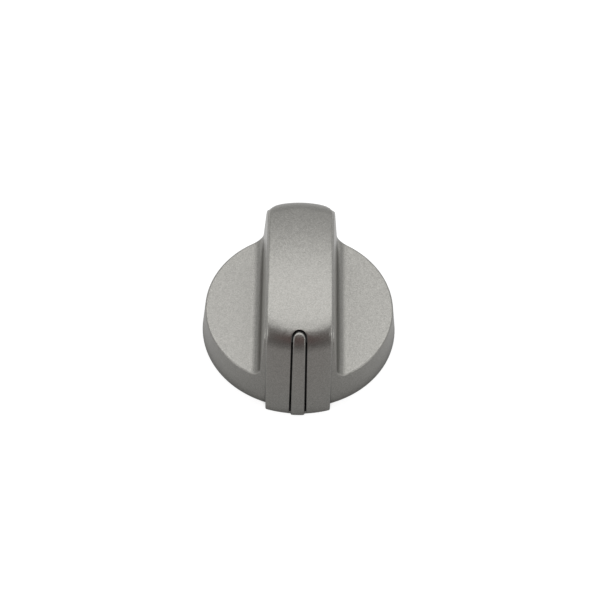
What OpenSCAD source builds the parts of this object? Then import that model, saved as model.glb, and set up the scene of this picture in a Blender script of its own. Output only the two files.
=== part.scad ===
// Stove knob with a round drafted skirt, a grip bar across it and a pointer let into the nose.
// The spindle axis is Z, the rim stands on Z = 0 and the pointer faces -Y. Sizes are in millimetres.

/* [Skirt] */
// Diameter of the rim
rim_d = 46; // [42:0.5:56]
// Draft of the skirt, in degrees
skirt_draft = 5.8; // [3:0.1:8]
// Height of the two flats beside the grip
flat_z = 8.3; // [7:0.1:11]
// Round along the edge between the skirt and the flats
shoulder_r = 0.3; // [0.2:0.1:0.8]
// Wall of the moulded shell
wall = 2; // [1.6:0.1:2.4]

/* [Grip] */
// Height of the strap's crown above the rim
knob_h = 26.4; // [24:0.1:32]
// Radius of the crown
crown_r = 100; // [70:1:160]
// Radius of the bends from the crown to the ends of the strap
bend_r = 6.8; // [5.5:0.1:8]
// Width of the grip bar where its sides would meet the flats
grip_w = 18; // [17:0.1:20]
// Draft of the sides of the grip, in degrees
grip_draft = 4.2; // [2:0.1:5]
// Hollow round along the foot of the grip
foot_r = 2.8; // [1.5:0.1:4]

/* [Strap] */
// Width of the raised strap
strap_w = 15; // [13:0.1:15.2]
// How far the tail of the strap stands proud of the skirt
strap_proud = 0.45; // [0.3:0.05:0.8]
// How far the strap stands above the top of the grip bar
strap_rise = 0.9; // [0.5:0.05:1.2]
// How far the nose stands out beyond the rim
nose_out = 1.75; // [1:0.05:3]
// Draft of the face of the nose, in degrees
nose_draft = 9.5; // [7:0.1:11]
// Radius of the softened corners of the tail
tail_r = 4.2; // [3:0.1:6]
// How far in from the edges of the strap that softening starts
tail_soft = 2.6; // [2:0.1:3]

/* [Pointer] */
// Width of the pointer at the rim
pointer_w = 3.2; // [2.6:0.1:4]
// How much narrower the pointer is at its round top
pointer_taper = 0.45; // [0:0.05:0.8]
// How far the pointer's face stands proud of the nose
pointer_proud = 0.4; // [0.2:0.05:0.6]
// Open gap between the pointer and the sides of its slot
pointer_gap = 0.38; // [0.25:0.01:0.5]
// Where the top of the slot lies on the bend of the nose, in degrees from upright
slot_turn = 31; // [22:1:45]
// Lean of the line along which the slot is cut, in degrees up from level
slot_lean = 25; // [0:1:40]

/* [Spindle] */
// Diameter of the spindle
spindle_d = 8; // [6:0.5:8]
// Distance from the spindle's axis to its flat
spindle_flat = 2.5; // [2:0.1:3]
// Depth of the socket from the mouth of the hub
socket_depth = 14; // [12:0.5:16]

/* [Hidden] */
$fn = 96;

rim_r = rim_d / 2;
reach = rim_r + 10;
// overlap that makes an arc cross the line it runs into
blend = 0.002;

// base radius of the strap behind the axis and of the nose in front of it
strap_base = rim_r + strap_proud / cos(skirt_draft);
nose_base = rim_r + nose_out;

// foot of the grip: centre of the hollow round
foot_z = flat_z + foot_r;
foot_x = grip_side(foot_z) + foot_r / cos(grip_draft);

// slot of the pointer, and the plate behind the nose that the pointer's flange lies on
nose_c = bend_c(nose_base, nose_draft, knob_h, crown_r, bend_r);
slot_y = nose_c[0] + bend_r * sin(slot_turn);
slot_top = nose_c[1] + bend_r * cos(slot_turn);
slot_len = (nose_base - slot_y) * sin(slot_lean) + slot_top * cos(slot_lean);
slot_back = 15.5 * rim_r / 23;
nose_wall = wall + 0.4;
flange_t = 1.2;
flange_w = 10;
flange_top = knob_h - bend_r - 0.6;
sill_z = 0.8;
stud_r = 0.9;
stud_x = (slot_w(flange_top / 2) / 2 + flange_w / 2) / 2 + 0.1;
stud_z = flange_top / 2;

// hub and clip
hub_z = 1.2;
lead_r = spindle_d / 2 + 0.4;
lead_depth = 3;
socket_r = spindle_d / 2 + 0.05;
clip_t = 0.4;
clip_w = 4;
clip_air = 0.05;
socket_flat = spindle_flat + clip_t + 2 * clip_air;
chord_t = 1.5;
clip_in = chord_t / 2 + clip_air;
clip_y = socket_flat + chord_t / 2;
clip_z = hub_z + lead_depth + 0.2 + clip_in + clip_t;
pocket_y = socket_flat + chord_t + clip_t + 3 * clip_air;
hub_r = max(lead_r + 2.2, pocket_y + 1.5);
rib_t = 1.5;

// half width of the grip bar at a height
function grip_side(z) = grip_w / 2 - (z - flat_z) * tan(grip_draft);

// width of the pointer and of its slot at a height
function pointer_wide(z) = pointer_w - pointer_taper * z / slot_top;
function slot_w(z) = pointer_wide(z) + 2 * pointer_gap;

// distance of a plane behind the face of the nose from the axis, at a height
function nose_plane(depth, z) = nose_base - depth / cos(nose_draft) - z * tan(nose_draft);

// centre of a bend that touches a drafted side and a crown
function bend_z(a, t, z0, d) =
    (a * t + z0 + sqrt(pow(a * t + z0, 2) - (1 + t * t) * (a * a + z0 * z0 - d * d))) / (1 + t * t);
function bend_c(base_r, draft, top_z, crown, r) =
    let (a = base_r - r / cos(draft), z = bend_z(a, tan(draft), top_z - crown, crown - r))
    [a - z * tan(draft), z];

// turned outline: drafted side, bend and crown, from a height below the bend
module turned_outline(base_r, draft, top_z, crown, r, low = 0) {
    c = bend_c(base_r, draft, top_z, crown, r);
    lean = atan(c[0] / (c[1] - top_z + crown));
    polygon([
        [0, low],
        [base_r - low * tan(draft), low],
        c + r * [cos(draft), sin(draft)],
        c,
        [0, c[1]]
    ]);
    translate(c)
        circle(r = r + blend);
    intersection() {
        translate([0, top_z - crown])
            circle(r = crown);
        polygon([
            [0, c[1] - 1],
            [c[0] - 1, c[1] - 1],
            c,
            c + 2 * r * [sin(lean), cos(lean)],
            [0, top_z + 2 * r]
        ]);
    }
}

// envelope that the grip bar is cut from, or the same moved inwards
module bar_envelope(inset, low = 0) {
    rotate_extrude()
        turned_outline(
            rim_r - inset / cos(skirt_draft),
            skirt_draft,
            knob_h - strap_rise - inset,
            crown_r - strap_rise - inset,
            bend_r - strap_proud - inset,
            low
        );
}

// cross-section of the grip bar with its hollow feet
module grip_section() {
    top = knob_h + 5;
    low = flat_z - 1;
    difference() {
        polygon([
            [-foot_x, low],
            [foot_x, low],
            [foot_x, foot_z],
            [grip_side(foot_z), foot_z],
            [grip_side(top), top],
            [-grip_side(top), top],
            [-grip_side(foot_z), foot_z],
            [-foot_x, foot_z]
        ]);
        for (side = [-1, 1])
            translate([side * foot_x, foot_z])
                circle(r = foot_r + blend);
    }
}

// skirt and grip bar, turned to one drafted outline
module skirt_and_grip() {
    intersection() {
        bar_envelope(0);
        rotate([90, 0, 0])
            linear_extrude(height = 2 * reach, center = true)
                union() {
                    grip_section();
                    translate([-reach, -1])
                        square([2 * reach, flat_z + 1]);
                }
    }
}

// what the round takes off the edge of the flats, on both sides of the grip
module shoulder_cut() {
    cz = flat_z - shoulder_r;
    cx = rim_r - cz * tan(skirt_draft) - shoulder_r / cos(skirt_draft);
    difference() {
        rotate_extrude()
            difference() {
                polygon([
                    [cx, cz],
                    [cx + 2 * cos(skirt_draft), cz + 2 * sin(skirt_draft)],
                    [cx + 2, flat_z + 1],
                    [cx, flat_z + 1]
                ]);
                translate([cx, cz])
                    circle(r = shoulder_r - blend / 2);
            }
        translate([-foot_x, -reach, 0])
            cube([2 * foot_x, 2 * reach, 2 * flat_z]);
    }
}

// nose half of the strap, in front of the axis
module strap_front() {
    rotate([0, 0, 180])
        rotate_extrude(angle = 180)
            turned_outline(nose_base, nose_draft, knob_h, crown_r, bend_r);
}

// tail half of the strap, with its corners softened over the bend
module strap_back() {
    slant = 54;
    c = bend_c(strap_base, skirt_draft, knob_h, crown_r, bend_r);
    rest = (c[1] + bend_r * cos(slant)) * cos(slant);
    far = c[0] + bend_r * sin(slant);
    start_x = strap_w / 2 - tail_soft;
    start_y = sqrt(far * far - start_x * start_x);
    lean = atan(sin(slant) * start_x / start_y);
    round_c = [start_x, start_y * sin(slant) + rest] - (tail_r - 0.02) * [sin(lean), cos(lean)];
    intersection() {
        rotate_extrude(angle = 180)
            turned_outline(strap_base, skirt_draft, knob_h, crown_r, bend_r);
        rotate([90 - slant, 0, 0])
            linear_extrude(height = 6 * reach, center = true)
                union() {
                    translate([-strap_w, -2 * reach])
                        square([2 * strap_w, 2 * reach + round_c[1]]);
                    translate([-start_x, 0])
                        square([2 * start_x, far * sin(slant) + rest + 0.1]);
                    for (side = [-1, 1])
                        translate([side * round_c[0], round_c[1]])
                            circle(r = tail_r);
                }
    }
}

module strap() {
    intersection() {
        union() {
            strap_front();
            strap_back();
        }
        translate([-strap_w / 2, -reach, -1])
            cube([strap_w, 2 * reach, knob_h + 5]);
    }
}

// hollow under the skirt and inside the grip bar, with a niche behind the nose
module hollow() {
    ceiling = flat_z - wall;
    intersection() {
        bar_envelope(wall, -1);
        rotate([90, 0, 0])
            linear_extrude(height = 2 * reach, center = true)
                union() {
                    translate([-reach, -2])
                        square([2 * reach, ceiling + 2]);
                    polygon([
                        [-grip_side(0) + wall, 0],
                        [grip_side(0) - wall, 0],
                        [grip_side(knob_h) - wall, knob_h],
                        [-grip_side(knob_h) + wall, knob_h]
                    ]);
                }
    }
    rotate([90, 0, 90])
        linear_extrude(height = flange_w + 0.4, center = true)
            polygon([
                [-nose_plane(nose_wall, -1), -1],
                [-slot_back, -1],
                [-slot_back, flange_top + 0.4],
                [-nose_plane(nose_wall, flange_top + 0.4), flange_top + 0.4]
            ]);
}

// hub down the middle and the ribs that tie it to the shell
module hub_and_ribs() {
    translate([0, 0, hub_z])
        cylinder(r = hub_r, h = knob_h - strap_rise - wall / 2 - 0.3 - hub_z);
    intersection() {
        bar_envelope(wall / 2);
        union() {
            translate([-reach, -rib_t / 2, hub_z + 0.3])
                cube([2 * reach, rib_t, flat_z - wall / 2 - hub_z - 0.3]);
            translate([-rib_t / 2, 0, hub_z + 0.3])
                cube([rib_t, reach, knob_h]);
        }
    }
}

// stud that holds the pointer's flange, with its head formed over it
module stud(side) {
    translate([side * stud_x, -nose_plane(nose_wall, stud_z), stud_z])
        rotate([-90 - nose_draft, 0, 0]) {
            translate([0, 0, -1])
                cylinder(r = stud_r, h = flange_t + 1.3);
            translate([0, 0, flange_t])
                cylinder(r = stud_r + 0.5, h = 0.6);
        }
}

// spindle socket: round lead-in, D-shaped bore and the pocket of the clip
module socket() {
    mouth = clip_z + 0.1;
    translate([0, 0, -1])
        cylinder(r = lead_r, h = hub_z + lead_depth + 1);
    difference() {
        translate([0, 0, hub_z])
            cylinder(r = socket_r, h = socket_depth);
        translate([-reach / 2, socket_flat, mouth])
            cube([reach, reach, reach]);
    }
    translate([-clip_w / 2 - 0.1, 0, -1])
        cube([clip_w + 0.2, pocket_y, mouth + 1]);
    translate([-clip_w / 2 - 0.1, pocket_y - clip_t - 3 * clip_air, mouth - 1])
        cube([clip_w + 0.2, clip_t + 3 * clip_air, socket_depth - 6.5]);
}

// pointer or its slot, drawn out along the leaning line from an outline that runs on below the rim
module pointer_bar(gap) {
    below = 6;
    top_w = pointer_w - pointer_taper + 2 * gap;
    low_w = pointer_w + pointer_taper * below / slot_len + 2 * gap;
    round_s = gap - pointer_gap - top_w / 2;
    translate([0, -slot_y, slot_top])
        rotate([90 - slot_lean, 0, 0])
            linear_extrude(height = 2 * reach, center = true)
                union() {
                    polygon([
                        [-low_w / 2, -slot_len - below],
                        [low_w / 2, -slot_len - below],
                        [top_w / 2, round_s],
                        [-top_w / 2, round_s]
                    ]);
                    translate([0, round_s])
                        circle(r = top_w / 2 + blend);
                }
}

// slot through the nose, closed behind the pointer
module slot() {
    intersection() {
        pointer_bar(pointer_gap);
        translate([-reach / 2, -2 * reach, -1])
            cube([reach, 2 * reach - slot_back, knob_h + reach]);
    }
}

module knob_body() {
    color("silver")
        difference() {
            union() {
                difference() {
                    union() {
                        difference() {
                            skirt_and_grip();
                            shoulder_cut();
                        }
                        strap();
                    }
                    hollow();
                }
                hub_and_ribs();
                stud(-1);
                stud(1);
            }
            socket();
            slot();
        }
}

// sill that closes the slot at the rim and keeps the pointer in the middle of it
module pointer_sill(low) {
    back = nose_wall + flange_t / 2;
    intersection() {
        rotate_extrude()
            turned_outline(nose_base, nose_draft, knob_h, crown_r, bend_r);
        pointer_bar(pointer_gap - 0.03);
        rotate([90, 0, 90])
            linear_extrude(height = flange_w, center = true)
                polygon([
                    [-nose_plane(back, low), low],
                    [-nose_plane(back, sill_z), sill_z],
                    [-reach, sill_z],
                    [-reach, low]
                ]);
    }
}

module pointer_insert() {
    low = 0.15;
    back = nose_wall + flange_t;
    color("lightgray")
        difference() {
            union() {
                intersection() {
                    rotate_extrude()
                        turned_outline(
                            nose_base + pointer_proud / cos(nose_draft),
                            nose_draft,
                            knob_h + pointer_proud,
                            crown_r + pointer_proud,
                            bend_r + pointer_proud
                        );
                    pointer_bar(0);
                    rotate([90, 0, 90])
                        linear_extrude(height = flange_w, center = true)
                            polygon([
                                [-nose_plane(back, low), low],
                                [-nose_plane(back, knob_h), knob_h],
                                [-reach, knob_h],
                                [-reach, low]
                            ]);
                }
                rotate([90, 0, 90])
                    linear_extrude(height = flange_w, center = true)
                        polygon([
                            [-nose_plane(nose_wall, low), low],
                            [-nose_plane(back, low), low],
                            [-nose_plane(back, flange_top), flange_top],
                            [-nose_plane(nose_wall, flange_top), flange_top]
                        ]);
                pointer_sill(low);
            }
            for (side = [-1, 1])
                translate([side * stud_x, -nose_plane(nose_wall, stud_z), stud_z])
                    rotate([-90 - nose_draft, 0, 0])
                        translate([0, 0, -1])
                            cylinder(r = stud_r + 0.06, h = flange_t + 2);
        }
}

module shaft_spring() {
    leg_in = socket_flat - clip_air;
    tip_z = hub_z + socket_depth - 2;
    bow_z = (clip_z + tip_z) / 2;
    bow = 0.4;
    color("gray")
        rotate([90, 0, 90])
            linear_extrude(height = clip_w, center = true)
                union() {
                    difference() {
                        translate([clip_y, clip_z])
                            circle(r = clip_in + clip_t);
                        translate([clip_y, clip_z])
                            circle(r = clip_in);
                        translate([clip_y - 4, clip_z])
                            square([8, 8]);
                    }
                    polygon([
                        [leg_in, clip_z - blend],
                        [leg_in - bow, bow_z],
                        [leg_in - 0.1, tip_z],
                        [leg_in - 0.1 - clip_t, tip_z],
                        [leg_in - bow - clip_t, bow_z],
                        [leg_in - clip_t, clip_z - blend]
                    ]);
                    translate([clip_y + clip_in, clip_z - blend])
                        square([clip_t, socket_depth - 9]);
                }
}

knob_body();
pointer_insert();
shaft_spring();
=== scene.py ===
import math

import bmesh
import bpy
from mathutils import Matrix, Vector, kdtree


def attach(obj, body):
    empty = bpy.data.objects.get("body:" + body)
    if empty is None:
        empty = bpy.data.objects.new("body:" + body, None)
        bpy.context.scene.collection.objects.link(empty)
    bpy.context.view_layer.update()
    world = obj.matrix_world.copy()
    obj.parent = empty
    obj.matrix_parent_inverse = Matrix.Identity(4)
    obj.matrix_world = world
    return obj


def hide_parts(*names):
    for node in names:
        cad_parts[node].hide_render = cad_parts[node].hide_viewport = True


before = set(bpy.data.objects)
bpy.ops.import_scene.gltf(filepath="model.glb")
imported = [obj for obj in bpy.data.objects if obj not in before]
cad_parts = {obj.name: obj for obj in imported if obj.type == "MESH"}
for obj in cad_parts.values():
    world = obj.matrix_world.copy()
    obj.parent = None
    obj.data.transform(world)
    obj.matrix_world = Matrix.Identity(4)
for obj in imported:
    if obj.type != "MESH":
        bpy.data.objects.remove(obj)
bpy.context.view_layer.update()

# Knob body
# One moulding: a turned, drafted skirt with two flats, a grip bar across it and a raised strap over
# the bar that ends in the nose. It is sprayed outside with a silver metallic lacquer, which just
# reaches round the lips of the slot. The hollow underneath is left as bare black plastic.

# sizes in millimetres: skirt, flats, grip bar, strap, nose, and the soft corners of the tail
RIM_R = 23.0
SKIRT_DRAFT = math.radians(5.8)
FLAT_Z = 8.3
KNOB_H = 26.4
CROWN_R = 100.0
BEND_R = 6.8
GRIP_W = 18.0
GRIP_DRAFT = math.radians(4.2)
FOOT_R = 2.8
STRAP_HALF = 7.5
STRAP_PROUD = 0.45
STRAP_RISE = 0.9
NOSE_OUT = 1.75
NOSE_DRAFT = math.radians(9.5)
TAIL_R = 4.2
TAIL_SOFT = 2.6
TAIL_SLANT = math.radians(54)
TAIL_BLEND = 0.15
TAIL_CLEAR = 0.12


class Turned:
    """A turned outline: drafted side, bend and crown."""

    def __init__(self, base, draft, top, crown, bend):
        self.base, self.draft, self.top, self.crown, self.bend = base, draft, top, crown, bend
        t = math.tan(draft)
        a = base - bend / math.cos(draft)
        z0 = top - crown
        s = a * t + z0
        under_root = s * s - (1 + t * t) * (a * a + z0 * z0 - (crown - bend) ** 2)
        cz = (s + math.sqrt(under_root)) / (1 + t * t)
        self.c = (a - cz * t, cz)
        self.side_top = cz + bend * math.sin(draft)
        self.lean = math.atan(self.c[0] / (cz - z0))
        self.steep = math.pi / 2 - draft
        self.bend_top = cz + bend * math.cos(self.lean)
        self.crown_rho = self.c[0] + bend * math.sin(self.lean)

    def rho(self, z):
        if z <= self.side_top:
            return self.base - z * math.tan(self.draft)
        if z <= self.bend_top:
            return self.c[0] + math.sqrt(max(0.0, self.bend ** 2 - (z - self.c[1]) ** 2))
        return math.sqrt(max(0.0, self.crown ** 2 - (z - self.top + self.crown) ** 2))

    def turn_z(self, turn):
        """Height on the bend where its normal is turned that far from upright."""
        return self.c[1] + self.bend * math.cos(turn)

    def turn(self, z):
        return math.acos(min(1.0, (z - self.c[1]) / self.bend))

    def crown_z(self, x, y):
        return self.top - self.crown + math.sqrt(self.crown ** 2 - x * x - y * y)

    def point(self, x, z, way):
        """The point at that width and height, in front of the axis (way -1) or behind it (1)."""
        return (x, way * math.sqrt(max(0.0, self.rho(z) ** 2 - x * x)), z)

    def snap(self, p):
        """The nearest point of the surface, at the same angle round the axis."""
        rho, z = math.hypot(p[0], p[1]), p[2]
        start = rho
        dx, dz = rho - self.c[0], z - self.c[1]
        turn = math.atan2(dx, dz)
        if turn > self.steep:
            n = (math.cos(self.draft), math.sin(self.draft))
            off = (rho - self.base) * n[0] + z * n[1]
            rho, z = rho - off * n[0], z - off * n[1]
        elif turn > self.lean:
            k = self.bend / math.hypot(dx, dz)
            rho, z = self.c[0] + dx * k, self.c[1] + dz * k
        else:
            up = z - self.top + self.crown
            k = self.crown / math.hypot(rho, up)
            rho, z = rho * k, self.top - self.crown + up * k
        return (p[0] * rho / start, p[1] * rho / start, z)


bar = Turned(
    RIM_R, SKIRT_DRAFT, KNOB_H - STRAP_RISE, CROWN_R - STRAP_RISE, BEND_R - STRAP_PROUD
)
tail = Turned(RIM_R + STRAP_PROUD / math.cos(SKIRT_DRAFT), SKIRT_DRAFT, KNOB_H, CROWN_R, BEND_R)
nose = Turned(RIM_R + NOSE_OUT, NOSE_DRAFT, KNOB_H, CROWN_R, BEND_R)


def spread(a, b, n):
    return [a + (b - a) * i / n for i in range(n + 1)]


def grip_side(z):
    return GRIP_W / 2 - (z - FLAT_Z) * math.tan(GRIP_DRAFT)


def tail_soften(p):
    """Lowers a point of the tail onto its rounded corner, never into the grip bar."""
    s, c = math.sin(TAIL_SLANT), math.cos(TAIL_SLANT)
    start_x = STRAP_HALF - TAIL_SOFT
    if p[0] <= start_x:
        return p
    far = tail.c[0] + BEND_R * s
    start_y = math.sqrt(far * far - start_x * start_x)
    lean = math.atan(s * start_x / start_y)
    cx = start_x - TAIL_R * math.sin(lean)
    cy = start_y * s + (tail.c[1] + BEND_R * c) * c - TAIL_R * math.cos(lean)
    over = p[1] * s + p[2] * c - cy - math.sqrt(max(0.0, TAIL_R ** 2 - (p[0] - cx) ** 2))
    if over <= -TAIL_BLEND:
        return p
    drop = over if over >= TAIL_BLEND else (over + TAIL_BLEND) ** 2 / (4 * TAIL_BLEND)
    x, y, z = p[0], p[1] - drop * s, p[2] - drop * c
    dx, dz = math.hypot(x, y) - bar.c[0], z - bar.c[1]
    short = (bar.bend + TAIL_CLEAR) / math.hypot(dx, dz)
    if short > 1 and bar.lean < math.atan2(dx, dz) < bar.steep:
        rho = bar.c[0] + dx * short
        y, z = math.sqrt(rho * rho - x * x), bar.c[1] + dz * short
    return (x, y, z)


# slot for the pointer: cut on a line that leans with the bend, as wide as the pointer and its gap
SLOT_TURN = math.radians(31)
SLOT_LEAN = math.radians(25)
SLOT_LEVEL = 12.0
SLOT_DEEP = 2.6
SLOT_SLACK = 0.01
POINTER_W = 3.2
POINTER_TAPER = 0.45
POINTER_GAP = 0.38
LIP_SPRAY = 0.2
SLOT_Y = nose.c[0] + BEND_R * math.sin(SLOT_TURN)
SLOT_TOP = nose.c[1] + BEND_R * math.cos(SLOT_TURN)
SLOT_LEN = (nose.base - SLOT_Y) * math.sin(SLOT_LEAN) + SLOT_TOP * math.cos(SLOT_LEAN)


def below_top(y, z):
    """How far a point lies below the top of the slot, seen along the line it is cut on."""
    return (SLOT_TOP - z) * math.cos(SLOT_LEAN) - (SLOT_Y + y) * math.sin(SLOT_LEAN)


def pointer_half(below, gap):
    return (POINTER_W - POINTER_TAPER * (1 - below / SLOT_LEN)) / 2 + gap


def on_form(form, x, below):
    """The front point of a turned form at that width, that far below the top of the slot."""
    low, high = -1.0, form.bend_top
    for _ in range(40):
        z = (low + high) / 2
        p = form.point(x, z, -1)
        low, high = (z, high) if below_top(p[1], z) > below else (low, z)
    return p


def beside_slot(form, z, gap):
    """The front point of a turned form at that height, beside the pointer."""
    x = pointer_half(SLOT_TOP - z, gap)
    for _ in range(3):
        x = pointer_half(below_top(form.point(x, z, -1)[1], z), gap)
    return form.point(x, z, -1)


def slot_way(z):
    """Back and down along the walls of the slot: leaning at its top, level at the rim."""
    lean = SLOT_LEAN * min(1.0, max(0.0, z) / SLOT_LEVEL)
    return math.cos(lean), -math.sin(lean)


def set_back(p, deep):
    back, down = slot_way(p[2])
    return (p[0], p[1] + deep * back, p[2] + deep * down)


def placed(name, data):
    """A new object in the scene with that mesh, lamp or camera."""
    obj = bpy.data.objects.new(name, data)
    bpy.context.scene.collection.objects.link(obj)
    return obj


def made(name, bm):
    """A new object in the scene from a bmesh, which is used up."""
    mesh = bpy.data.meshes.new(name)
    bm.to_mesh(mesh)
    bm.free()
    return placed(name, mesh)


def settled(obj):
    """The object with its modifiers turned into a plain mesh."""
    graph = bpy.context.evaluated_depsgraph_get()
    mesh = bpy.data.meshes.new_from_object(obj.evaluated_get(graph), depsgraph=graph)
    obj.modifiers.clear()
    obj.data = mesh
    return obj


class Skin:
    """Faces of one side of a piece, lacquered or bare, and the edges of it that are rounded."""

    MERGE = 0.0005
    SLIVER = 0.0002

    def __init__(self):
        self.verts, self.faces, self.bare, self.rounds = [], [], [], []

    def rows(self, rows, bare=False):
        for a, b in zip(rows, rows[1:]):
            for i in range(len(a) - 1):
                self.face([a[i], a[i + 1], b[i + 1], b[i]], bare)

    def face(self, points, bare=False):
        base = len(self.verts)
        self.verts.extend(points)
        self.faces.append(tuple(range(base, base + len(points))))
        self.bare.append(int(bare))

    def round(self, points, width):
        """Rounds the edges along points; width is one number, or one for each point."""
        widths = width if isinstance(width, list) else [width] * len(points)
        for a, b, u, v in zip(points, points[1:], widths, widths[1:]):
            self.rounds.append((a, b, (u + v) / 2))

    def solid(self, name, segments=4):
        """Both sides joined, the open loop at the rim closed, and the marked edges rounded."""
        mesh = bpy.data.meshes.new(name)
        both = self.verts + [(-x, y, z) for x, y, z in self.verts]
        n = len(self.verts)
        flipped = [tuple(n + i for i in reversed(f)) for f in self.faces]
        mesh.from_pydata(both, [], self.faces + flipped)
        mesh.polygons.foreach_set("material_index", self.bare + self.bare)
        bm = bmesh.new()
        bm.from_mesh(mesh)
        bmesh.ops.remove_doubles(bm, verts=bm.verts, dist=self.MERGE)
        bmesh.ops.dissolve_degenerate(bm, edges=bm.edges, dist=self.SLIVER)
        open_edges = [e for e in bm.edges if len(e.link_faces) == 1]
        if open_edges:
            bmesh.ops.contextual_create(bm, geom=open_edges)
        bmesh.ops.recalc_face_normals(bm, faces=bm.faces)
        bm.verts.ensure_lookup_table()
        tree = kdtree.KDTree(len(bm.verts))
        for v in bm.verts:
            tree.insert(v.co, v.index)
        tree.balance()
        weight = bm.edges.layers.float.new("bevel_weight_edge")
        widest = max(w for _, _, w in self.rounds)
        for a, b, w in self.rounds:
            for side in (1, -1):
                ends = [bm.verts[tree.find((p[0] * side, p[1], p[2]))[1]] for p in (a, b)]
                edge = bm.edges.get(ends) if ends[0] != ends[1] else None
                if edge:
                    edge[weight] = w / widest
        bm.to_mesh(mesh)
        bm.free()
        obj = placed(name, mesh)
        bevel = obj.modifiers.new("edge rounds", "BEVEL")
        bevel.limit_method = "WEIGHT"
        bevel.width = widest
        bevel.segments = segments
        bevel.use_clamp_overlap = False
        return settled(obj)


# how many faces lie across the strap, round the slot, over each bend and along each half crown,
# and on the side below and above the foot of the grip
COLS, RINGS, BEND_N, CROWN_N = 10, 7, 16, 10
LOW_N, SIDE_N = 3, 7
FOOT_LOW = 0.2
body = Skin()
cols = spread(0, STRAP_HALF, COLS)
side_parts = spread(0, FOOT_LOW, LOW_N) + spread(FOOT_LOW, 1, SIDE_N)[1:]

# strap: tail, crown and the start of the front bend
FRONT_N, ARCH_N = 4, 6
FAN_START = 0.5
slot_gap = POINTER_GAP + SLOT_SLACK
arch_half = pointer_half(0, slot_gap)
arch_turn = nose.turn(on_form(nose, arch_half, arch_half)[2])
start_turn = nose.lean + FAN_START * (SLOT_TURN - nose.lean)
front_turns = spread(nose.lean, start_turn, FRONT_N)[1:]
arch_turns = spread(start_turn, arch_turn, ARCH_N)[1:]
low_turns = spread(arch_turn, nose.steep, BEND_N - FRONT_N - ARCH_N)[1:]
strap_rows = [
    [tail_soften(tail.point(x, u * tail.side_top, 1)) for x in cols] for u in side_parts
]
for turn in spread(tail.steep, tail.lean, BEND_N)[1:]:
    strap_rows.append([tail_soften(tail.point(x, tail.turn_z(turn), 1)) for x in cols])
for half, way in ((tail, 1), (nose, -1)):
    for w in (spread(1, 0, CROWN_N)[1:] if way > 0 else spread(0, 1, CROWN_N)[1:]):
        ys = [way * w * math.sqrt(half.crown_rho ** 2 - x * x) for x in cols]
        row = [(x, y, half.crown_z(x, y)) for x, y in zip(cols, ys)]
        strap_rows.append([tail_soften(p) for p in row] if way > 0 else row)
for turn in front_turns:
    strap_rows.append([nose.point(x, nose.turn_z(turn), -1) for x in cols])
body.rows(strap_rows)

# strap: faces that fan out from the arch of the slot, then the face of the nose beside the slot
RING_BIAS = 0.3
outer = [(x, start_turn) for x in cols] + [(STRAP_HALF, t) for t in arch_turns]
inner = []
for i in range(len(outer)):
    a = math.pi / 2 * (1 - i / (len(outer) - 1))
    x = arch_half * math.cos(a)
    inner.append((x, nose.turn(on_form(nose, x, arch_half * (1 - math.sin(a)))[2])))
shares = [(1 - RING_BIAS) * u + RING_BIAS * u * u for u in spread(0, 1, RINGS)]
fan = []
for u in shares:
    pairs = [
        (xi + (xo - xi) * u, ti + (to - ti) * u) for (xi, ti), (xo, to) in zip(inner, outer)
    ]
    fan.append([nose.point(x, nose.turn_z(t), -1) for x, t in pairs])
body.rows(fan)
face_rows = [[row[-1] for row in fan]]
low_zs = [nose.turn_z(t) for t in low_turns]
for z in low_zs + [u * nose.side_top for u in reversed(side_parts[:-1])]:
    half = beside_slot(nose, z, slot_gap)[0]
    face_rows.append([nose.point(half + (STRAP_HALF - half) * u, z, -1) for u in shares])
body.rows(face_rows)
strap_edge = [row[-1] for row in strap_rows] + fan[-1][len(cols):]
strap_edge += [row[-1] for row in face_rows[1:]]

# walls and floor of the slot, silver only round its lips
lip = fan[0] + [row[0] for row in face_rows[1:]]
sprayed_lip = [set_back(p, LIP_SPRAY) for p in lip]
groove = [set_back(p, SLOT_DEEP) for p in lip]
body.rows([lip, sprayed_lip])
body.rows([sprayed_lip, groove, [(0.0, y, z) for x, y, z in groove]], bare=True)

# crease along the foot of the strap, and the edge of the grip bar beside it
RIM_N, FLAT_N = 5, 84
FOOT_N = LOW_N + RIM_N
foot_x = grip_side(FLAT_Z + FOOT_R) + FOOT_R / math.cos(GRIP_DRAFT)
foot_z = FLAT_Z + FOOT_R
foot_turns = spread(math.pi + GRIP_DRAFT, 1.5 * math.pi, FOOT_N)
foot = [(foot_x + FOOT_R * math.cos(a), foot_z + FOOT_R * math.sin(a)) for a in foot_turns]
crease, grip_edge = [], []


def on_crown(y, half_width):
    z = bar.top
    for _ in range(6):
        z = bar.crown_z(half_width(z), y)
    return (half_width(z), y, z)


def along_side(u, way):
    z = u * bar.side_top
    crease.append(bar.point(STRAP_HALF, z, way))
    if u >= FOOT_LOW:
        zw = foot[0][1] + (bar.side_top - foot[0][1]) * (u - FOOT_LOW) / (1 - FOOT_LOW)
        grip_edge.append(bar.point(grip_side(zw), zw, way))


def along_bend(u, way):
    z = bar.turn_z(bar.steep + (bar.lean - bar.steep) * u)
    crease.append(bar.point(STRAP_HALF, z, way))
    grip_edge.append(bar.point(grip_side(z), z, way))


for u in side_parts:
    along_side(u, 1)
for u in spread(0, 1, BEND_N)[1:]:
    along_bend(u, 1)
bar_y = math.sqrt(bar.crown_rho ** 2 - STRAP_HALF ** 2)
grip_y = math.sqrt(bar.crown_rho ** 2 - grip_side(bar.bend_top) ** 2)
for w in spread(1, -1, 2 * CROWN_N)[1:]:
    crease.append(on_crown(w * bar_y, lambda z: STRAP_HALF))
    grip_edge.append(on_crown(w * grip_y, grip_side))
for turn in front_turns + arch_turns + low_turns:
    along_bend((nose.steep - turn) / (nose.steep - nose.lean), -1)
for u in reversed(side_parts[:-1]):
    along_side(u, -1)

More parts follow.
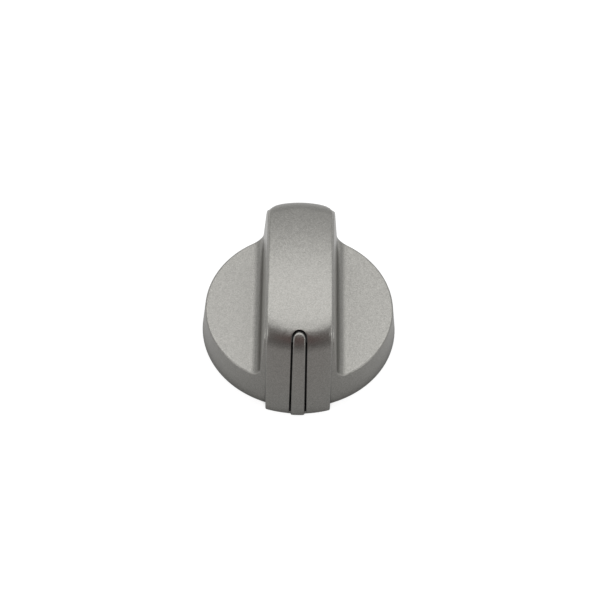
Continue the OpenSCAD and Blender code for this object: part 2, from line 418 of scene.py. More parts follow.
# fill that softens the crease along the crown: the foot of the strap is lifted a little up its side
CROWN_FROM = 19
CROWN_RUN = 4
CREASE_FILL = 0.22
CREASE_FAR = 0.35
CREASE_MOST = 0.35


def near_crown(z):
    """From 0 on the sides of the knob to 1 on the crown."""
    return min(1.0, max(0.0, (z - CROWN_FROM) / CROWN_RUN))


lifts = []
for c, e in zip(crease, strap_edge):
    share = min(CREASE_MOST, CREASE_FILL / math.dist(c, e)) * near_crown(c[2])
    lifts.append(tuple((b - a) * share for a, b in zip(c, e)))
strap_foot = [tuple(a + b for a, b in zip(c, up)) for c, up in zip(crease, lifts)]
body.rows([strap_edge, strap_foot])

# skirt and ends of the grip bar: faces between the crease, the rim and the edge round the flat
flat_rho = bar.rho(FLAT_Z)
rim_turns = spread(math.asin(STRAP_HALF / RIM_R), math.asin(foot_x / flat_rho), RIM_N)
flat_turns = spread(rim_turns[-1], math.pi - rim_turns[-1], FLAT_N)
rim_turns += flat_turns[1:] + [math.pi - t for t in reversed(rim_turns[:-1])]
rim = [(RIM_R * math.sin(t), -RIM_R * math.cos(t), 0.0) for t in rim_turns]
shoulder = [(flat_rho * math.sin(t), -flat_rho * math.cos(t), FLAT_Z) for t in flat_turns]
front_foot = [bar.point(x, z, -1) for x, z in foot]
back_foot = [bar.point(x, z, 1) for x, z in foot]
outside = crease[LOW_N:] + rim[1:] + crease[1:LOW_N + 1]
inside = grip_edge + front_foot[1:] + shoulder[1:] + back_foot[:-1][::-1]
raised = lifts[LOW_N:] + [(0.0, 0.0, 0.0)] * len(rim[1:]) + lifts[1:LOW_N + 1]
SKIRT_ACROSS = (0, 0.6, 0.8, 1)
ring = []
for u in SKIRT_ACROSS:
    row = []
    for a, b, up in zip(inside, outside, raised):
        p = tuple(a[i] + (b[i] - a[i]) * u for i in range(3))
        share = max(0.0, 1 - math.dist(p, b) / CREASE_FAR) if u > 0 else 0.0
        p = bar.snap(p) if 0 < u < 1 else p
        row.append(tuple(p[i] + up[i] * share for i in range(3)))
    ring.append(row)
body.rows(ring)

# side of the grip, the hollow round along its foot, and the flat
body.face(grip_edge)
body.rows([front_foot, back_foot])
body.face(shoulder)

# edges that the mould leaves round, each within a share of the narrow face beside it
EDGE_ROUND = 0.32
CROWN_ROUND = 0.5
SHOULDER_ROUND = 0.45
RIM_ROUND = 0.25
LIP_ROUND = 0.14
TOP_SHARE = 0.5
SIDE_SHARE = 0.75
tops = []
for c, g in zip(strap_foot[LOW_N:], grip_edge):
    tops.append(min(EDGE_ROUND, TOP_SHARE * math.dist(c, g)))
body.round(grip_edge, tops)
body.round(front_foot, SHOULDER_ROUND)
body.round(back_foot, SHOULDER_ROUND)
body.round(shoulder, SHOULDER_ROUND)
sides = []
for a, b in zip(strap_edge, strap_foot):
    widest = EDGE_ROUND + (CROWN_ROUND - EDGE_ROUND) * near_crown(a[2])
    sides.append(min(widest, SIDE_SHARE * math.dist(a, b)))
body.round(strap_edge, sides)
body.round(rim, RIM_ROUND)
body.round([strap_foot[0], strap_edge[0]] + strap_rows[0][::-1], RIM_ROUND)
body.round([strap_foot[-1]] + face_rows[-1][::-1], RIM_ROUND)
body.round(lip, LIP_ROUND)
knob = body.solid("silver_knob_body")


def cut(obj, tool, how):
    """Cuts obj with tool, joins them, or keeps what they share; the tool is used up."""
    mod = obj.modifiers.new(how.lower(), "BOOLEAN")
    mod.operation = how
    mod.solver = "EXACT"
    mod.object = tool
    mod.material_mode = "TRANSFER"
    settled(obj)
    bpy.data.objects.remove(tool)
    return obj


def walled(name, loops):
    """A closed solid through loops of points, with the first and the last filled."""
    bm = bmesh.new()
    rings = [[bm.verts.new(p) for p in loop] for loop in loops]
    bm.faces.new(rings[0])
    bm.faces.new(rings[-1])
    for a, b in zip(rings, rings[1:]):
        for i in range(len(a)):
            j = (i + 1) % len(a)
            bm.faces.new([a[i], a[j], b[j], b[i]])
    bmesh.ops.recalc_face_normals(bm, faces=bm.faces)
    return made(name, bm)


def block(name, outline, axis, low, high):
    """A closed solid from an outline of (across, up) points, drawn out along Y or X."""
    if axis == "Y":
        return walled(name, [[(a, d, b) for a, b in outline] for d in (low, high)])
    return walled(name, [[(d, a, b) for a, b in outline] for d in (low, high)])


# hollow underneath: what the solid leaves open, inside a form that lies within the walls,
# with a niche behind the nose for the pointer's flange
WALL_IN = 1.0
HOLLOW_STEPS, HOLLOW_BEND = 64, 6
PAST_KNOB = 30
PAST_ENDS = 40
BELOW_RIM = 2
NICHE_WALL = 1.4
NICHE_HALF = 6.2
NICHE_BACK = -12
NICHE_LOW, NICHE_TOP = -0.9, 20.3
inset = Turned(
    RIM_R - WALL_IN / math.cos(SKIRT_DRAFT),
    SKIRT_DRAFT,
    bar.top - WALL_IN,
    bar.crown - WALL_IN,
    bar.bend - WALL_IN,
)
levels = [-1.0, 0.0, inset.side_top]
for turn in spread(inset.steep, inset.lean, HOLLOW_BEND)[1:]:
    levels.append(inset.turn_z(turn))
turns = [2 * math.pi * (i + 0.5) / HOLLOW_STEPS for i in range(HOLLOW_STEPS)]
hollow = walled(
    "hollow",
    [[(inset.rho(z) * math.cos(t), inset.rho(z) * math.sin(t), z) for t in turns] for z in levels],
)
roof = FLAT_Z - WALL_IN
side = [(PAST_KNOB, -BELOW_RIM), (PAST_KNOB, roof), (grip_side(FLAT_Z) - WALL_IN, roof)]
side += [(grip_side(PAST_KNOB) - WALL_IN, PAST_KNOB)]
tee = block("tee", side + [(-a, b) for a, b in reversed(side)], "Y", -PAST_ENDS, PAST_ENDS)
cut(hollow, tee, "INTERSECT")
behind = nose.base - NICHE_WALL / math.cos(NOSE_DRAFT)
niche = [(-behind + NICHE_LOW * math.tan(NOSE_DRAFT), NICHE_LOW), (NICHE_BACK, NICHE_LOW)]
niche += [(NICHE_BACK, NICHE_TOP), (-behind + NICHE_TOP * math.tan(NOSE_DRAFT), NICHE_TOP)]
cut(hollow, block("niche", niche, "X", -NICHE_HALF, NICHE_HALF), "UNION")

# the solid in millimetres, drawn down past the rim so that the cut leaves no skin there
solid = placed("solid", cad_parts["knob_body"].data.copy())
bm = bmesh.new()
bm.from_mesh(solid.data)
bmesh.ops.remove_doubles(bm, verts=bm.verts, dist=1e-7)
bmesh.ops.scale(bm, vec=(1000, 1000, 1000), verts=bm.verts)
under = [f for f in bm.faces if max(v.co.z for v in f.verts) < 0.001]
grown = bmesh.ops.extrude_face_region(bm, geom=under)["geom"]
grown_verts = [g for g in grown if isinstance(g, bmesh.types.BMVert)]
bmesh.ops.translate(bm, vec=(0, 0, -BELOW_RIM), verts=grown_verts)
bmesh.ops.delete(bm, geom=[f for f in under if f.is_valid], context="FACES_ONLY")
bm.to_mesh(solid.data)
bm.free()
cut(hollow, solid, "DIFFERENCE")

SHARP_EDGE = math.radians(38)


def finish_mesh(obj):
    """Millimetres to metres, and normals that keep flat faces flat beside their rounds."""
    obj.data.transform(Matrix.Scale(0.001, 4))
    obj.data.shade_smooth()
    obj.data.set_sharp_from_angle(angle=SHARP_EDGE)
    mod = obj.modifiers.new("even normals", "WEIGHTED_NORMAL")
    mod.keep_sharp = True
    mod.weight = 80
    return settled(obj)


def group(name, inputs, outputs):
    """An empty shader group with named sockets; returns it with its input and output nodes."""
    tree = bpy.data.node_groups.new(name, "ShaderNodeTree")
    for label, kind, value in inputs:
        socket = tree.interface.new_socket(label, in_out="INPUT", socket_type=kind)
        if value is not None:
            socket.default_value = value
    for label, kind in outputs:
        tree.interface.new_socket(label, in_out="OUTPUT", socket_type=kind)
    return tree, tree.nodes.new("NodeGroupInput"), tree.nodes.new("NodeGroupOutput")


def maths(tree, how, a, b, clamp=False):
    """One sum on two sockets or numbers."""
    node = tree.nodes.new("ShaderNodeMath")
    node.operation = how
    node.use_clamp = clamp
    for socket, value in zip(node.inputs, (a, b)):
        if isinstance(value, (int, float)):
            socket.default_value = value
        else:
            tree.links.new(value, socket)
    return node.outputs[0]


def vectors(tree, how, a, b=None):
    """One sum on vectors: b is a socket, a tuple or, to scale a, the socket of a number."""
    node = tree.nodes.new("ShaderNodeVectorMath")
    node.operation = how
    tree.links.new(a, node.inputs[0])
    second = node.inputs["Scale"] if how == "SCALE" else node.inputs[1]
    if isinstance(b, tuple):
        second.default_value = b
    elif b is not None:
        tree.links.new(b, second)
    return node.outputs[0]


def noise(tree, place, scale, detail):
    node = tree.nodes.new("ShaderNodeTexNoise")
    node.inputs["Scale"].default_value = scale
    node.inputs["Detail"].default_value = detail
    tree.links.new(place, node.inputs["Vector"])
    return node.outputs["Fac"]


def material(name):
    """A new material, its node tree and its shader."""
    mat = bpy.data.materials.new(name)
    mat.use_nodes = True
    return mat, mat.node_tree, mat.node_tree.nodes["Principled BSDF"]


def on_object(tree):
    return tree.nodes.new("ShaderNodeTexCoord").outputs["Object"]


def two_tone(tree, share, less, more):
    """A mix of two colours, each given as a socket or as a plain colour."""
    node = tree.nodes.new("ShaderNodeMix")
    node.data_type = "RGBA"
    tree.links.new(share, node.inputs["Factor"])
    for label, colour in (("A", less), ("B", more)):
        if isinstance(colour, tuple):
            node.inputs[label].default_value = colour
        else:
            tree.links.new(colour, node.inputs[label])
    return node.outputs["Result"]


def cover(tree, surface, effect, place, values):
    """Puts a shader group in a material, with its own values, for its colour and roughness."""
    node = tree.nodes.new("ShaderNodeGroup")
    node.node_tree = effect
    tree.links.new(place, node.inputs["Place"])
    for label, value in values.items():
        node.inputs[label].default_value = value
    tree.links.new(node.outputs["Colour"], surface.inputs["Base Color"])
    tree.links.new(node.outputs["Roughness"], surface.inputs["Roughness"])
    return node


# flakes that lie in the lacquer: each cell is a little lighter or darker and tips the light its
# own way, and a cloud of mottle lies over them
flakes, flake_in, flake_out = group(
    "metal_flakes",
    [
        ("Place", "NodeSocketVector", None),
        ("Colour", "NodeSocketColor", (0.2, 0.2, 0.2, 1.0)),
        ("Flake Cells", "NodeSocketFloat", 6000.0),
        ("Contrast", "NodeSocketFloat", 0.3),
        ("Mottle", "NodeSocketFloat", 0.06),
        ("Tip", "NodeSocketFloat", 0.1),
        ("Roughness", "NodeSocketFloat", 0.4),
    ],
    [
        ("Colour", "NodeSocketColor"),
        ("Roughness", "NodeSocketFloat"),
        ("Normal", "NodeSocketVector"),
    ],
)
given = flake_in.outputs
cells = flakes.nodes.new("ShaderNodeTexVoronoi")
cells.inputs["Randomness"].default_value = 1.0
flakes.links.new(given["Place"], cells.inputs["Vector"])
flakes.links.new(given["Flake Cells"], cells.inputs["Scale"])
cloud = noise(flakes, given["Place"], 900.0, 3.0)
parts = flakes.nodes.new("ShaderNodeSeparateColor")
flakes.links.new(cells.outputs["Color"], parts.inputs["Color"])
spark = maths(flakes, "SUBTRACT", parts.outputs[0], 0.5)
spark = maths(flakes, "MULTIPLY", spark, given["Contrast"])
drift = maths(flakes, "SUBTRACT", cloud, 0.5)
drift = maths(flakes, "MULTIPLY", drift, given["Mottle"])
level = maths(flakes, "ADD", 1.0, maths(flakes, "ADD", spark, drift))
tint = vectors(flakes, "SCALE", given["Colour"], level)
rough = maths(flakes, "ADD", given["Roughness"], maths(flakes, "MULTIPLY", drift, 0.6))
tipped = vectors(flakes, "SUBTRACT", cells.outputs["Color"], (0.5, 0.5, 0.5))
tipped = vectors(flakes, "SCALE", tipped, given["Tip"])
facing = flakes.nodes.new("ShaderNodeNewGeometry").outputs["Normal"]
tipped = vectors(flakes, "NORMALIZE", vectors(flakes, "ADD", facing, tipped))
flakes.links.new(tint, flake_out.inputs["Colour"])
flakes.links.new(rough, flake_out.inputs["Roughness"])
flakes.links.new(tipped, flake_out.inputs["Normal"])

# silver metallic lacquer, with its flakes and the faint peel of a sprayed coat
SILVER = {"Colour": (0.239, 0.235, 0.221, 1.0), "Roughness": 0.36}
silver, tree, surface = material("silver_lacquer")
surface.inputs["Metallic"].default_value = 1.0
where = on_object(tree)
coat = cover(tree, surface, flakes, where, SILVER)
peel = tree.nodes.new("ShaderNodeBump")
peel.inputs["Strength"].default_value = 0.15
peel.inputs["Distance"].default_value = 0.00002
tree.links.new(noise(tree, where, 1600.0, 2.0), peel.inputs["Height"])
tree.links.new(coat.outputs["Normal"], peel.inputs["Normal"])
tree.links.new(peel.outputs["Normal"], surface.inputs["Normal"])

# fine grain that runs from dark to light and from smooth to dull
fine_grain, grain_in, grain_out = group(
    "fine_grain",
    [
        ("Place", "NodeSocketVector", None),
        ("Scale", "NodeSocketFloat", 1000.0),
        ("Detail", "NodeSocketFloat", 3.0),
        ("Dark", "NodeSocketColor", (0.1, 0.1, 0.1, 1.0)),
        ("Light", "NodeSocketColor", (0.2, 0.2, 0.2, 1.0)),
        ("Smooth", "NodeSocketFloat", 0.4),
        ("Dull", "NodeSocketFloat", 0.6),
    ],
    [("Colour", "NodeSocketColor"), ("Roughness", "NodeSocketFloat")],
)
given = grain_in.outputs
specks = fine_grain.nodes.new("ShaderNodeTexNoise")
sheen = fine_grain.nodes.new("ShaderNodeMapRange")
for label, into in (
    ("Place", specks.inputs["Vector"]),
    ("Scale", specks.inputs["Scale"]),
    ("Detail", specks.inputs["Detail"]),
    ("Smooth", sheen.inputs["To Min"]),
    ("Dull", sheen.inputs["To Max"]),
):
    fine_grain.links.new(given[label], into)
fine_grain.links.new(specks.outputs["Fac"], sheen.inputs["Value"])
shade = two_tone(fine_grain, specks.outputs["Fac"], given["Dark"], given["Light"])
fine_grain.links.new(shade, grain_out.inputs["Colour"])
fine_grain.links.new(sheen.outputs["Result"], grain_out.inputs["Roughness"])

# bare black plastic, with the fine grain of the mould
MOULDED = {
    "Scale": 2500.0,
    "Detail": 4.0,
    "Dark": (0.018, 0.018, 0.019, 1.0),
    "Light": (0.034, 0.034, 0.035, 1.0),
    "Smooth": 0.45,
    "Dull": 0.62,
}
bare, tree, surface = material("bare_plastic")
surface.inputs["Specular IOR Level"].default_value = 0.4
cover(tree, surface, fine_grain, on_object(tree), MOULDED)
knob.data.materials.append(silver)
knob.data.materials.append(bare)
hollow.data.materials.clear()
hollow.data.materials.append(bare)
cut(knob, hollow, "DIFFERENCE")
finish_mesh(knob)
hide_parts("knob_body")
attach(knob, "root")

# Pointer
# A separate moulding in the same silver, let into the slot of the nose from behind with a gap all
# round. Its flange lies against the inside of the nose, on two studs with heads formed over it.
# The silver reaches a little way down its sides, and the rest of it is bare.
POINTER_PROUD = 0.4
POINTER_LOW = 0.15
POINTER_ROUND = 0.36
SPINE_TIP = 0.35
SPRAY_SIDE = 0.8
SPRAY_TIP = 0.42
NOSE_WALL = 2.4
FLANGE_T = 1.2
FLANGE_HALF = 5.0
FLANGE_BELOW_BEND = 0.6
FLANGE_TOP = KNOB_H - BEND_R - FLANGE_BELOW_BEND
FLANGE_OVERLAP = 0.01
front = Turned(
    nose.base + POINTER_PROUD / math.cos(NOSE_DRAFT),
    NOSE_DRAFT,
    KNOB_H + POINTER_PROUD,
    CROWN_R + POINTER_PROUD,
    BEND_R + POINTER_PROUD,
)

# face of the pointer, in rows from its edge to its spine
STEM_N, KNEE_N, TIP_N = 12, 5, 12
POINTER_ACROSS = (0, 0.35, 0.6, 0.8, 1)
tip_half = pointer_half(0, 0)
tip_low = on_form(front, tip_half, POINTER_GAP + tip_half)[2]
pointer = Skin()
spine, edge = [], []
knee = spread(front.side_top, tip_low, KNEE_N)[1:]
for z in spread(POINTER_LOW, front.side_top, STEM_N) + knee:
    edge.append((beside_slot(front, z, 0)[0], z))
    spine.append((0.0, z))
for a in spread(0, math.pi / 2, TIP_N)[1:]:
    x = tip_half * math.cos(a)
    edge.append((x, on_form(front, x, POINTER_GAP + tip_half * (1 - math.sin(a)))[2]))
    down_spine = POINTER_GAP + tip_half * (1 - SPINE_TIP * math.sin(a))
    spine.append((0.0, on_form(front, 0.0, down_spine)[2]))
pointer_rows = []
for u in POINTER_ACROSS:
    pairs = [
        (xe + (xs - xe) * u, ze + (zs - ze) * u) for (xe, ze), (xs, zs) in zip(edge, spine)
    ]
    pointer_rows.append([front.point(x, z, -1) for x, z in pairs])
pointer.rows(pointer_rows)


def nose_plane(depth, z):
    """Y of the plane that lies that deep behind the face of the nose."""
    return -(nose.base - depth / math.cos(NOSE_DRAFT) - z * math.tan(NOSE_DRAFT))


# sides of the pointer, and the flange behind it
rim_edge = pointer_rows[0]
sprayed_edge, back_edge = [], []
for x, y, z in rim_edge:
    deep = SPRAY_TIP + (SPRAY_SIDE - SPRAY_TIP) * min(1.0, x / tip_half) ** 2
    sprayed_edge.append(set_back((x, y, z), deep))
    back, down = slot_way(z)
    far = nose_plane(NOSE_WALL + FLANGE_T - FLANGE_OVERLAP, z) - y
    back_edge.append(set_back((x, y, z), far / (back - down * math.tan(NOSE_DRAFT))))
pointer.rows([rim_edge, sprayed_edge])
pointer.rows([sprayed_edge, back_edge, [(0.0, y, z) for x, y, z in back_edge]], bare=True)
pointer.round(rim_edge, POINTER_ROUND)
insert = pointer.solid("silver_pointer", 5)
insert.data.materials.append(silver)
insert.data.materials.append(bare)
plate = [(nose_plane(NOSE_WALL, z), z) for z in (POINTER_LOW, FLANGE_TOP)]
plate += [(nose_plane(NOSE_WALL + FLANGE_T, z), z) for z in (FLANGE_TOP, POINTER_LOW)]
flange = block("flange", plate, "X", -FLANGE_HALF, FLANGE_HALF)
flange.data.materials.append(bare)
cut(insert, flange, "UNION")

# sill that closes the slot at the rim, its front in line with the face of the nose
SILL_Z = 0.8
SILL_CLEAR = 0.03
SILL_GAP = POINTER_GAP - SILL_CLEAR
SILL_ROUND = 0.1
sill = Skin()
sill_rows = []
for z, deep in ((POINTER_LOW, False), (SILL_Z, False), (SILL_Z, True), (POINTER_LOW, True)):
    across = spread(0, beside_slot(nose, z, SILL_GAP)[0], 4)
    back = nose_plane(NOSE_WALL + FLANGE_T / 2, z)
    sill_rows.append([(x, back, z) if deep else nose.point(x, z, -1) for x in across])
sill.rows(sill_rows[:2])
sill.rows(sill_rows[1:] + sill_rows[:1], bare=True)
sill.face([row[-1] for row in sill_rows], bare=True)
sill.round(sill_rows[1], SILL_ROUND)
foot_bar = sill.solid("sill")
foot_bar.data.materials.append(silver)
foot_bar.data.materials.append(bare)
cut(insert, foot_bar, "UNION")

# holes for the studs, half way up the flange and between its edge and the slot
HOLE_R = 0.96
HOLE_LONG = 4
HOLE_OUT = 0.1
stud_z = FLANGE_TOP / 2
stud_x = (pointer_half(SLOT_TOP - stud_z, POINTER_GAP) + FLANGE_HALF) / 2 + HOLE_OUT
stud_y = nose_plane(NOSE_WALL + FLANGE_T / 2, stud_z)
for side in (-1, 1):
    bm = bmesh.new()
    bmesh.ops.create_cone(
        bm, cap_ends=True, segments=32, radius1=HOLE_R, radius2=HOLE_R, depth=HOLE_LONG
    )
    turn = Matrix.Rotation(math.pi / 2 + NOSE_DRAFT, 4, "X")
    bm.transform(Matrix.Translation((side * stud_x, stud_y, stud_z)) @ turn)
    drill = made("stud_hole", bm)
    drill.data.materials.append(bare)
    cut(insert, drill, "DIFFERENCE")
finish_mesh(insert)
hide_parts("pointer_insert")
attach(insert, "root")

# Spindle clip
# A strip of spring steel bent to a U and pushed up into its pocket in the hub.
# Its bowed leg presses on the flat of the spindle, so that the knob holds and still pulls off.

# sizes in metres: the strip, its front leg with the bow in it, the turn and the back leg
CLIP_W = 0.004
CLIP_T = 0.0004
LEG_Y = 0.00275
LEG_TOP, TOP_BOW = 0.01318, 0.0001
BOW_Z, BOW = 0.0094, 0.0004
TURN_Z, TURN_R, TURN_N = 0.0056, 0.001, 12
BACK_LEG = 0.005
turn_y = LEG_Y + TURN_R
path = [(0.0, LEG_Y - TOP_BOW, LEG_TOP), (0.0, LEG_Y - BOW, BOW_Z), (0.0, LEG_Y, TURN_Z)]
for a in spread(math.pi, 2 * math.pi, TURN_N)[1:-1]:
    path.append((0.0, turn_y + TURN_R * math.cos(a), TURN_Z + TURN_R * math.sin(a)))
path += [(0.0, turn_y + TURN_R, TURN_Z), (0.0, turn_y + TURN_R, TURN_Z + BACK_LEG)]
strip = bpy.data.meshes.new("clip_path")
strip.from_pydata(path, [(i, i + 1) for i in range(len(path) - 1)], [])
clip = placed("spindle_clip", strip)

# bright steel with the lines of the rolling along the strip
ROLLED = {
    "Scale": 1.0,
    "Detail": 3.0,
    "Dark": (0.36, 0.36, 0.37, 1.0),
    "Light": (0.55, 0.55, 0.56, 1.0),
    "Smooth": 0.24,
    "Dull": 0.4,
}
steel, tree, surface = material("spring_steel")
surface.inputs["Metallic"].default_value = 1.0
rolled = tree.nodes.new("ShaderNodeMapping")
rolled.inputs["Scale"].default_value = (9000.0, 300.0, 300.0)
tree.links.new(on_object(tree), rolled.inputs["Vector"])
cover(tree, surface, fine_grain, rolled.outputs["Vector"], ROLLED)

# the strip is drawn along its path
bend_strip = bpy.data.node_groups.new("bent_strip", "GeometryNodeTree")
bend_strip.is_modifier = True
named = {}
for label, kind in (
    ("Path", "NodeSocketGeometry"),
    ("Width", "NodeSocketFloat"),
    ("Thickness", "NodeSocketFloat"),
    ("Metal", "NodeSocketMaterial"),
):
    socket = bend_strip.interface.new_socket(label, in_out="INPUT", socket_type=kind)
    named[label] = socket.identifier
bend_strip.interface.new_socket("Strip", in_out="OUTPUT", socket_type="NodeSocketGeometry")
give = bend_strip.nodes.new("NodeGroupInput")
take = bend_strip.nodes.new("NodeGroupOutput")
to_curve = bend_strip.nodes.new("GeometryNodeMeshToCurve")
section = bend_strip.nodes.new("GeometryNodeCurvePrimitiveQuadrilateral")
sweep = bend_strip.nodes.new("GeometryNodeCurveToMesh")
sweep.inputs["Fill Caps"].default_value = True
real = bend_strip.nodes.new("GeometryNodeRealizeInstances")
paint = bend_strip.nodes.new("GeometryNodeSetMaterial")
for out_of, into in (
    (give.outputs["Path"], to_curve.inputs[0]),
    (to_curve.outputs[0], sweep.inputs["Curve"]),
    (give.outputs["Width"], section.inputs["Width"]),
    (give.outputs["Thickness"], section.inputs["Height"]),
    (section.outputs[0], sweep.inputs["Profile Curve"]),
    (sweep.outputs[0], real.inputs[0]),
    (real.outputs[0], paint.inputs["Geometry"]),
    (give.outputs["Metal"], paint.inputs["Material"]),
    (paint.outputs[0], take.inputs["Strip"]),
):
    bend_strip.links.new(out_of, into)
bent = clip.modifiers.new("bent strip", "NODES")
bent.node_group = bend_strip
bent[named["Width"]] = CLIP_W
bent[named["Thickness"]] = CLIP_T
bent[named["Metal"]] = steel
settled(clip)
bm = bmesh.new()
bm.from_mesh(clip.data)
bmesh.ops.recalc_face_normals(bm, faces=bm.faces)
bm.to_mesh(clip.data)
bm.free()
clip.data.shade_smooth()
clip.data.set_sharp_from_angle(angle=SHARP_EDGE)
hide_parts("shaft_spring")
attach(clip, "root")

# Floor, light and camera
# The knob stands on its rim on a plain pale table, under three soft boxes overhead and one low on
# each side. The table's glow in reflections is painted light. A dim card in front, out of the
# camera's sight, glows faintly and gives the bend above the pointer its dark band as a reflection,
# and a warm glowing patch painted on the card gives the band its tint.
TABLE_HALF = 6.0
TABLE_COLOUR = (0.8, 0.8, 0.8, 1.0)
STRAIGHT_LEVEL = 1.25
POOL_LEVEL = 0.64
GLOW_SHARE = 0.65
CONTACT_FAR = 0.002
CONTACT_GAIN = 2.0
COOL_GLOW, WARM_GLOW = (1.0, 1.0, 1.0, 1.0), (1.0, 0.94, 0.93, 1.0)

# soft steps of the painted light that the table gives off in reflections: start and full in metres,
# less and more
NEAR_FLANK = (0.012, 0.022, 0.0, 0.14)
FAR_FLANK = (0.03, 0.045, 0.0, 0.3)
FLANK_START = (-0.042, -0.03, 0.0, 1.0)
BACK_END = (0.018, 0.028, 0.0, 0.32)
FRONT_END = (-0.13, -0.045, -0.44, 0.0)
WARM_FRONT = (-0.045, -0.028, 1.0, 0.0)


def fade(tree, way, start, full, less, more):
    """A soft step in a material, from less at start to more at full."""
    node = tree.nodes.new("ShaderNodeMapRange")
    node.interpolation_type = "SMOOTHSTEP"
    tree.links.new(way, node.inputs["Value"])
    labels = ("From Min", "From Max", "To Min", "To Max")
    for label, value in zip(labels, (start, full, less, more)):
        node.inputs[label].default_value = value
    return node.outputs["Result"]


def split_place(tree):
    """The three Object coordinates, and the distance to either side of the middle."""
    node = tree.nodes.new("ShaderNodeSeparateXYZ")
    tree.links.new(on_object(tree), node.inputs["Vector"])
    return node.outputs, maths(tree, "ABSOLUTE", node.outputs["X"], 0.0)


def light_path(tree):
    """1 for rays from the camera, and 1 for rays from a glossy or clear surface."""
    rays = tree.nodes.new("ShaderNodeLightPath").outputs
    mirrored = maths(tree, "MAXIMUM", rays["Is Glossy Ray"], rays["Is Transmission Ray"])
    return rays["Is Camera Ray"], mirrored


bm = bmesh.new()
bmesh.ops.create_grid(bm, x_segments=1, y_segments=1, size=TABLE_HALF)
table = made("table", bm)
pale, tree, surface = material("pale_table")
surface.inputs["Base Color"].default_value = TABLE_COLOUR
surface.inputs["Roughness"].default_value = 0.9
surface.inputs["Specular IOR Level"].default_value = 0.0
seen, mirrored = light_path(tree)
over, beside = split_place(tree)

# straight to the camera it glows white, apart from a thin line of painted shade under the rim,
# taken from the occlusion there
contact = tree.nodes.new("ShaderNodeAmbientOcclusion")
contact.samples = 8
contact.inputs["Distance"].default_value = CONTACT_FAR
open_to = contact.outputs["AO"]
rim_shade_mask = maths(tree, "MULTIPLY", open_to, CONTACT_GAIN, clamp=True)
straight = maths(tree, "MULTIPLY", maths(tree, "MULTIPLY", seen, rim_shade_mask), STRAIGHT_LEVEL)

# in reflections it glows as a painted pool of light that brightens away from the knob and is dimmer
# in front, with painted contact shade close to the knob and a painted warm tint in front
flanks = maths(tree, "ADD", fade(tree, beside, *NEAR_FLANK), fade(tree, beside, *FAR_FLANK))
flanks = maths(tree, "MULTIPLY", flanks, fade(tree, over["Y"], *FLANK_START))
ends = maths(tree, "ADD", fade(tree, over["Y"], *BACK_END), fade(tree, over["Y"], *FRONT_END))
painted_pool = maths(tree, "ADD", POOL_LEVEL, maths(tree, "ADD", flanks, ends))
# painted contact shade: the reflected glow darkens where the knob stands close
painted_contact_shade = maths(tree, "MULTIPLY", open_to, open_to)
turned = maths(tree, "MULTIPLY", maths(tree, "MULTIPLY", mirrored, painted_contact_shade), painted_pool)
# painted warm tint in the reflected glow in front of the knob
warm_tint_share = maths(tree, "MULTIPLY", mirrored, fade(tree, over["Y"], *WARM_FRONT))
glow = tree.nodes.new("ShaderNodeEmission")
tree.links.new(two_tone(tree, warm_tint_share, COOL_GLOW, WARM_GLOW), glow.inputs["Color"])
tree.links.new(maths(tree, "ADD", straight, turned), glow.inputs["Strength"])
share = maths(tree, "MULTIPLY", maths(tree, "MAXIMUM", mirrored, seen), GLOW_SHARE)
lit = tree.nodes.new("ShaderNodeMixShader")
tree.links.new(share, lit.inputs["Fac"])
tree.links.new(surface.outputs["BSDF"], lit.inputs[1])
tree.links.new(glow.outputs["Emission"], lit.inputs[2])

# from below it is clear, so that the underside can be looked at
facing = tree.nodes.new("ShaderNodeNewGeometry")
clear = tree.nodes.new("ShaderNodeBsdfTransparent")
choose = tree.nodes.new("ShaderNodeMixShader")
tree.links.new(facing.outputs["Backfacing"], choose.inputs["Fac"])
tree.links.new(lit.outputs["Shader"], choose.inputs[1])
tree.links.new(clear.outputs["BSDF"], choose.inputs[2])
tree.links.new(choose.outputs["Shader"], tree.nodes["Material Output"].inputs["Surface"])
table.data.materials.append(pale)

# dim card in front, which glows faintly, with a warm glowing patch: painted light that the bend
# reflects as its band
CARD_HALF = 0.62
CARD_H = 1.0
CARD_FRONT, CARD_BACK = -0.53, -0.52
CARD_COLOUR = (0.02, 0.02, 0.02, 1.0)
CARD_FAINT_GLOW, CARD_PATCH_GLOW = (1.0, 0.92, 0.9, 1.0), (1.0, 0.34, 0.3, 1.0)
PATCH_SIDE = (0.08, 0.34, 1.0, 0.0)
PATCH_FOOT = (0.1, 0.24, 0.0, 1.0)
PATCH_TOP = (0.35, 0.55, 1.0, 0.0)
sheet = [(-CARD_HALF, 0.0), (CARD_HALF, 0.0), (CARD_HALF, CARD_H), (-CARD_HALF, CARD_H)]
card = block("dark_card", sheet, "Y", CARD_FRONT, CARD_BACK)
card.visible_camera = False
black, tree, surface = material("black_card")
surface.inputs["Base Color"].default_value = CARD_COLOUR
surface.inputs["Roughness"].default_value = 0.9
# the card glows faintly, as painted light for the bend to reflect
surface.inputs["Emission Strength"].default_value = 0.21
over, beside = split_place(tree)
upright = maths(
    tree, "MULTIPLY", fade(tree, over["Z"], *PATCH_FOOT), fade(tree, over["Z"], *PATCH_TOP)
)
warm_glow_patch = maths(tree, "MULTIPLY", fade(tree, beside, *PATCH_SIDE), upright)
tree.links.new(two_tone(tree, warm_glow_patch, CARD_FAINT_GLOW, CARD_PATCH_GLOW), surface.inputs["Emission Color"])
card.data.materials.append(black)

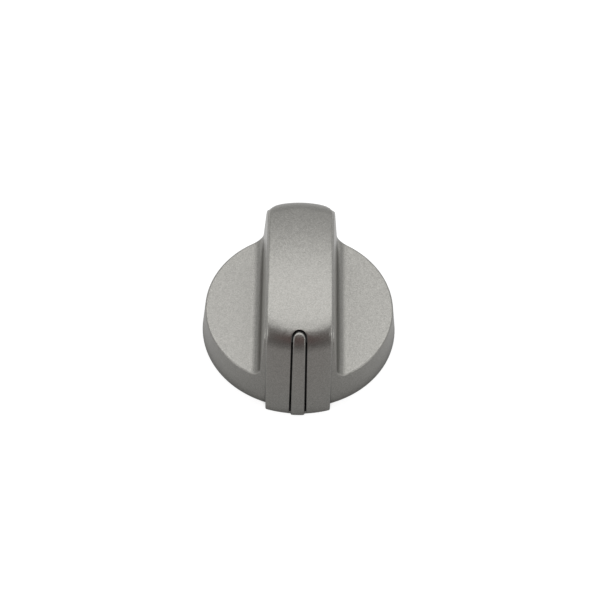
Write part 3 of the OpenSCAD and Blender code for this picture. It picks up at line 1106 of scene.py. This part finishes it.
# soft boxes: shape, place, size, the point that each faces, and its brightness
for name, shape, spot, size, aim_at, level in (
    ("soft_box", "RECTANGLE", (0.0, 0.465, 0.75), (1.9, 0.43), (0.0, 0.465, 0.0), 1.74),
    ("front_box", "RECTANGLE", (0.0, 0.025, 0.75), (1.9, 0.45), (0.0, 0.025, 0.0), 1.2),
    ("round_box", "ELLIPSE", (0.06, -0.35, 0.75), (0.46, 0.46), (0.06, -0.35, 0.0), 1.4),
    ("left_box", "RECTANGLE", (-0.66, -0.37, 0.21), (0.3, 0.4), (0.0, -0.37, 0.21), 2.3),
    ("right_box", "RECTANGLE", (0.66, -0.37, 0.21), (0.3, 0.4), (0.0, -0.37, 0.21), 2.3),
):
    lamp = bpy.data.lights.new(name, "AREA")
    lamp.shape = shape
    lamp.size, lamp.size_y = size
    lamp.energy = level * math.pi * size[0] * size[1]
    box = placed(name, lamp)
    box.location = spot
    box.rotation_euler = (Vector(spot) - Vector(aim_at)).to_track_quat("Z", "Y").to_euler()

# the room: white to the camera, dimmer in reflections, and dimmer still as fill light
ROOM_FILL = 0.35
ROOM_MIRRORED = 0.43
world = bpy.data.worlds.new("studio")
bpy.context.scene.world = world
world.use_nodes = True
tree = world.node_tree
backdrop = tree.nodes["Background"]
backdrop.inputs["Color"].default_value = (1.0, 1.0, 1.0, 1.0)
seen, mirrored = light_path(tree)
level = maths(tree, "ADD", ROOM_FILL, maths(tree, "MULTIPLY", mirrored, ROOM_MIRRORED))
level = maths(tree, "MAXIMUM", level, seen)
tree.links.new(level, backdrop.inputs["Strength"])

# camera at the photo's place, turned a little so that the knob lies where it does in the frame
FRAME_PX = 600
FOCAL_PX = 1920.0
AIM_UP_PX, AIM_SIDE_PX = 27.6, -0.57
CAMERA_FAR = 0.46
CAMERA_UP = math.radians(54.03)
CAMERA_ROLL = math.radians(1.57)
KNOB_TURN = math.radians(-0.64)
camera = bpy.data.cameras.new("camera")
camera.lens = FOCAL_PX / FRAME_PX * camera.sensor_width
camera.clip_start = 0.01
eye = placed("camera", camera)
aim = Matrix.Rotation(math.pi / 2 - CAMERA_UP, 4, "X")
tilt = Matrix.Rotation(math.atan(AIM_UP_PX / FOCAL_PX), 4, "X")
pan = Matrix.Rotation(math.atan(AIM_SIDE_PX / FOCAL_PX), 4, "Y")
roll = Matrix.Rotation(CAMERA_ROLL, 4, "Z")
spot = Vector((0.0, -CAMERA_FAR * math.cos(CAMERA_UP), CAMERA_FAR * math.sin(CAMERA_UP)))
turn = Matrix.Rotation(KNOB_TURN, 4, "Z")
eye.matrix_world = turn @ Matrix.Translation(spot) @ aim @ tilt @ pan @ roll
bpy.context.scene.camera = eye
bpy.context.scene.view_settings.view_transform = "Standard"
